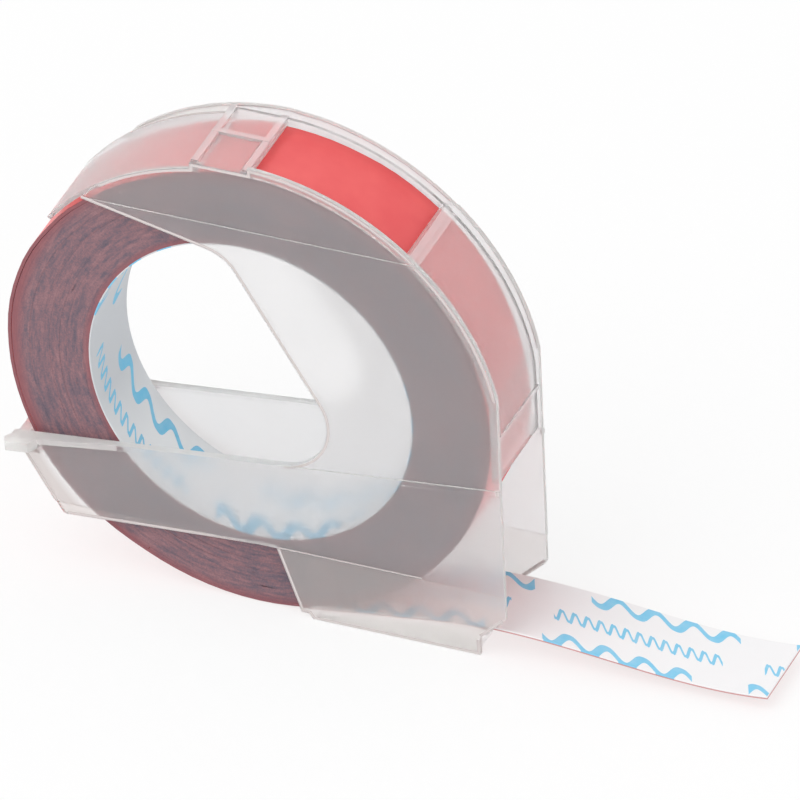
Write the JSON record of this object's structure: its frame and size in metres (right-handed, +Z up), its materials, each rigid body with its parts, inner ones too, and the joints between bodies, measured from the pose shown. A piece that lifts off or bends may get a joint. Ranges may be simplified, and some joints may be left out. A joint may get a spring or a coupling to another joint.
{
  "type": "embossing tape refill",
  "caption": "Coil of red embossing tape in a frosted snap-together cassette with guide rails, a finger notch and its free end drawn out.",
  "frame": {"origin": "middle of the flat base, under the centre of the whole refill", "axes": "+X the way the tape comes out, +Y from the front side plate to the rear one, +Z up"},
  "size_m": [0.0786, 0.0144, 0.0519],
  "materials": {
    "frosted_shell": "frosted translucent polypropylene with polished cut edges",
    "coil_side": "edges of the wound vinyl layers, mottled grey and red-brown",
    "red_vinyl": "satin calendered vinyl",
    "printed_liner": null
  },
  "bodies": {
    "cassette": {"front_shell": "frosted_shell", "rear_shell": "frosted_shell"},
    "coil": {"tape_coil": "coil_side", "coil_outer_turn": "red_vinyl", "coil_bore_liner": "printed_liner"},
    "free_end": {"free_tape": "red_vinyl", "free_liner": "printed_liner"}
  },
  "joints": [
    {"name": "tape_feed", "type": "slide", "parent": "cassette", "child": "free_end", "axis": [0.9914, 0, 0.1305], "range_m": [0, 0.012]},
    {"name": "coil_spin", "type": "hinge", "parent": "cassette", "child": "coil", "pos_m": [-0.01365, 0, 0.025], "axis": [0, 1, 0], "range_deg": [-27.7, 0]}
  ],
  "couplings": [
    {"joint": "coil_spin", "follows": "tape_feed", "rad_per_m": -40.16}
  ]
}
